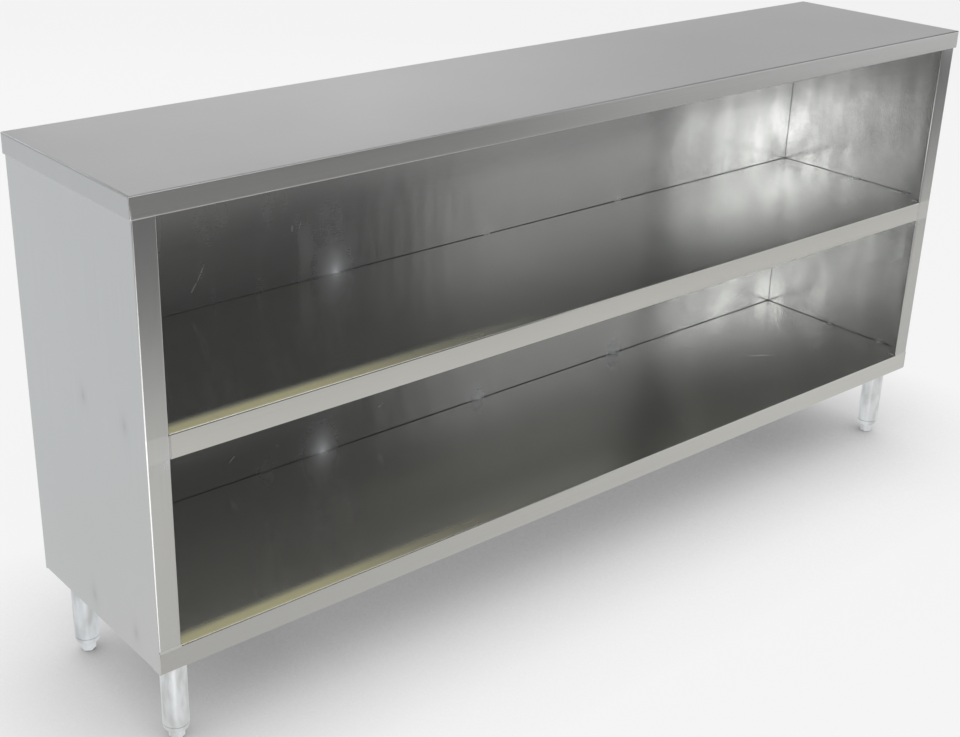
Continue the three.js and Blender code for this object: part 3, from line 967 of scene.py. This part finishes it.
tacks = tack_beads(MIDDLE_ROW, SIDE_WELDS["middle"]) + tack_beads(FLOOR_ROW, SIDE_WELDS["floor"])
stitches = [bead for name in nodes if name.endswith("_channel") for bead in channel_stitches(name)]
socket_beads = [bead for name in nodes if name.startswith("leg_socket") for bead in socket_stitches(name)]
for name, beads in (
    ("shelf_tack_welds", tacks),
    ("channel_stitch_welds", stitches),
    ("socket_stitch_welds", socket_beads),
    ("lip_spot_welds", lip_spots()),
):
    weld_set(name, beads)
    print(name, len(beads), "beads")

# %% [markdown]
# Where a rail meets a stile, and round the lower corners of the sides, the weld is ground flush, so
# no gap shows there. The solids could be joined into one, but on the real cabinet they are separate
# sheets, so a thin strip of weld metal covers each of those seams. It stands a hair above the sheets
# and takes the same brushed finish.

# %% Ground joints between the rails and the stiles
FILLER_WIDTH = 4.4 * MM
FILLER_DEPTH = 0.6 * MM
FILLER_RISE = 0.06 * MM
SHEET_BEND = 2.8 * MM


def filler_strip(shape, low, high):
    """A flat strip between two corner points."""
    size = high - low
    placed = Matrix.Translation((low + high) / 2) @ Matrix.Diagonal((size.x, size.y, size.z, 1))
    bmesh.ops.create_cube(shape, size=1.0, matrix=placed)


def ground_joints():
    """Strips over the seams of the two rails, and round the lower corners of the sides."""
    shape = bmesh.new()
    face = body_front - FILLER_RISE
    half = FILLER_WIDTH / 2
    for side in (-1, 1):
        x = side * stile_inner
        low = Vector((x - half, face, shelf_low.z + SHEET_BEND))
        filler_strip(shape, low, Vector((x + half, face + FILLER_DEPTH, middle_deck - SHEET_BEND)))
        ends = sorted((x, side * (side_high.x - SHEET_BEND / 2)))
        low = Vector((ends[0], face, floor_deck - SHEET_BEND))
        filler_strip(shape, low, Vector((ends[1], face + FILLER_DEPTH, floor_deck + half)))
        fold = (side * (side_high.x - SHEET_BEND / 2), side * (side_high.x + FILLER_RISE))
        low = Vector((min(fold), face, floor_shelf_low.z + SHEET_BEND))
        filler_strip(shape, low, Vector((max(fold), body_front + SHEET_BEND / 2, floor_deck)))
    mesh = bpy.data.meshes.new("ground_joint_fillers")
    shape.to_mesh(mesh)
    shape.free()
    piece = bpy.data.objects.new("ground_joint_fillers", mesh)
    bpy.context.scene.collection.objects.link(piece)
    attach(piece, CABINET)
    mesh.materials.append(bpy.data.materials["brushed_worktop"])
    soft = piece.modifiers.new("softened", "BEVEL")
    soft.width = FILLER_RISE
    soft.segments = 2
    return piece


print("ground joints:", len(ground_joints().data.polygons) // 6)

# %% [markdown]
# Weld metal is brighter than the sheet, a little straw coloured, and wavy at the scale of its
# ripples. As a full mirror a bead this small would show only the dark inside of the cabinet. So it is
# drawn half matt and pale, a painted highlight for the glints on its ripples, and it stays pale from
# every side.

# %% Finish of the welds
# The pale tones, half matt, are a painted highlight for the glints of the beads
WELD_TONES_AND_GLINT = ((0.9, 0.94, 1.0, 1), (0.82, 0.79, 0.7, 1))
WELD_ROUGHNESS = (0.26, 0.44)
WELD_MIRROR = 0.5
WELD_WAVES = 0.3 * MM


def weld_finish():
    finish = Finish("weld_metal_and_glint")
    heat = finish.noise((300, 300, 300), 3.0)
    colour = finish.tone(heat, *WELD_TONES_AND_GLINT)
    bump = finish.add("Bump", {"Height": heat, "Strength": 0.6, "Distance": WELD_WAVES})
    inputs = {
        "Base Color": colour,
        "Roughness": finish.between(heat, *WELD_ROUGHNESS),
        "Metallic": WELD_MIRROR,
        "Normal": bump.outputs[0],
    }
    return finish.show(finish.add("BsdfPrincipled", inputs).outputs[0])


weld_metal_and_glint = weld_finish()
for piece in bpy.data.objects:
    if piece.name.endswith("_welds"):
        piece.data.materials.append(weld_metal_and_glint)
print("weld finish:", weld_metal_and_glint.name)

# %% [markdown]
# The cabinet stands on pale matt paper, which gives way to the darker floor of the room in front of
# it. Steel is mostly a mirror of what is round it, so both show in its front. More light would make
# the floor white, but it would bleach the cabinet too. So a share of white is mixed in for the rays
# that the camera sends out, and dimmed where something stands close above, as a shadow would be. The
# rays that leave the steel get a share too, but only where the paper is. There the white is a little
# warmer in front than behind, as it is in most rooms.

# %% The floor
FLOOR_REACH = 20
FLOOR_DROP = 0.5 * MM
PAPER = ((0.78, 0.78, 0.78, 1), (0.82, 0.82, 0.82, 1))
ROOM_FLOOR = (0.42, 0.42, 0.42, 1)
WARM_WHITE = (1.0, 0.98, 0.94, 1)
COOL_WHITE = (0.96, 0.985, 1.0, 1)
PAPER_ENDS = -0.85
ROOM_STARTS = -1.95
WHITE_TO_CAMERA = 0.86
WHITE_TO_STEEL = 0.6
SHADOW_REACH = 0.35


def floor_finish():
    finish = Finish("studio_floor")
    paper = finish.tone(finish.noise((8, 8, 8), 3.0), *PAPER)
    depth = finish.part_of_place("Y")
    near = finish.ramp(depth, ROOM_STARTS, PAPER_ENDS)
    colour = finish.tone(near, ROOM_FLOOR, paper)
    matt = finish.add("BsdfPrincipled", {"Base Color": colour, "Roughness": 0.9}).outputs[0]
    open_above = finish.add("AmbientOcclusion", {"Distance": SHADOW_REACH}, samples=8).outputs["AO"]
    rays = finish.add("LightPath").outputs
    mirrored = finish.maths("MAXIMUM", rays["Is Glossy Ray"], rays["Is Transmission Ray"])
    tint = finish.tone(finish.ramp(depth, PAPER_ENDS, -PAPER_ENDS), WARM_WHITE, COOL_WHITE)
    tint = finish.tone(mirrored, (1, 1, 1, 1), tint)
    strength = finish.maths("MAXIMUM", open_above, mirrored)
    white = finish.add("Emission", {"Color": tint, "Strength": strength}).outputs[0]
    to_steel = finish.maths("MULTIPLY", finish.maths("MULTIPLY", mirrored, WHITE_TO_STEEL), near)
    to_camera = finish.maths("MULTIPLY", rays["Is Camera Ray"], WHITE_TO_CAMERA)
    share = finish.maths("MAXIMUM", to_camera, to_steel)
    finish.material.cycles.emission_sampling = "NONE"
    return finish.show(finish.add("MixShader", {0: share, 1: matt, 2: white}).outputs[0])


def flat_sheet(name, reach):
    """A level square sheet that reaches that far from the middle along X and Y."""
    mesh = bpy.data.meshes.new(name)
    corners = [(x * reach, y * reach, 0) for x, y in ((-1, -1), (1, -1), (1, 1), (-1, 1))]
    mesh.from_pydata(corners, [], [(0, 1, 2, 3)])
    sheet = bpy.data.objects.new(name, mesh)
    bpy.context.scene.collection.objects.link(sheet)
    return sheet


floor = flat_sheet("studio_floor", FLOOR_REACH)
floor.data.materials.append(floor_finish())
floor.location.z = -FLOOR_DROP
print("floor:", floor.name)

# %% [markdown]
# Large soft lamps stand round the cabinet like the windows, walls and ceiling of a room. A picture of
# a room could light it too, but lamps can be moved one at a time until each shows where it should in
# the steel: those behind in the worktop and its end, those in front to the right in the back sheet,
# the one overhead in front in the bends of the rails, and the small ones at the camera in the right
# corner, where the sheets send light back. The one on the floor draws the bright line along the fold
# of the left stile.

# %% The lamps
CABINET_MIDDLE = (0, 0, 0.5)
CORNER = (0.9, 0.19, 0.6)
NEUTRAL = (1, 1, 1)
COOL = (0.94, 0.98, 1.06)
ROOM_GLOW = 0.12
BEHIND = 0.4
FARTHER = 0.1


def soft_light(name, place, target, size, brightness, tint=NEUTRAL):
    """A rectangular lamp of even brightness that faces a point."""
    data = bpy.data.lights.new(name, "AREA")
    data.shape = "RECTANGLE"
    data.size, data.size_y = size
    data.energy = brightness * math.pi * size[0] * size[1]
    data.color = tint
    lamp = bpy.data.objects.new(name, data)
    lamp.location = place
    aim = (Vector(target) - Vector(place)).to_track_quat("-Z", "Y")
    lamp.rotation_euler = aim.to_euler()
    lamp.visible_camera = False
    bpy.context.scene.collection.objects.link(lamp)
    return lamp


soft_light("back_window", (-0.8, 4.0, 2.2), CABINET_MIDDLE, (2.6, 1.8), 1.2, COOL)
soft_light("back_wall", (2.6, 3.0, 1.9), CABINET_MIDDLE, (4.7, 2.0), 0.5)
soft_light("ceiling_behind", (2.0, 6.0, 3.6), (2.0, 6.0, 0), (7.0, 4.0), 0.5)
soft_light("front_right_low", (3.5, -2.6, 0.9), CABINET_MIDDLE, (2.4, 1.4), 1.0)
soft_light("front_right_high", (3.5, -2.6, 2.3), CABINET_MIDDLE, (2.4, 1.4), 0.36)
soft_light("left_wall", (-3.1, 3.4, 1.7), CABINET_MIDDLE, (2.6, 2.2), 0.4)
soft_light("ceiling", (0, -0.5, 3.6), (0, -0.5, 0), (7.0, 5.0), 0.28)
soft_light("ceiling_in_front", (0.6, -2.5, 3.5), (0.6, -2.5, 0), (3.2, 1.4), 1.5)
backward = axes[2]
behind_camera = camera_place + BEHIND * backward
beside_camera = behind_camera + FARTHER * backward
soft_light("behind_camera", behind_camera, CABINET_MIDDLE, (0.5, 0.9), 8.0)
soft_light("beside_camera", beside_camera, CABINET_MIDDLE, (1.3, 0.9), 0.8)
below_camera = Vector((behind_camera.x, behind_camera.y, 1.0))
soft_light("below_camera", below_camera, CORNER, (0.7, 0.5), 3.0)
soft_light("floor_card", (-1.5, -1.45, 0.02), (-1.5, -1.45, 1), (1.1, 2.1), 1.3)

world = bpy.data.worlds.new("studio_room")
bpy.context.scene.world = world
world.use_nodes = True
background = world.node_tree.nodes["Background"]
background.inputs["Color"].default_value = (1, 1, 1, 1)
background.inputs["Strength"].default_value = ROOM_GLOW
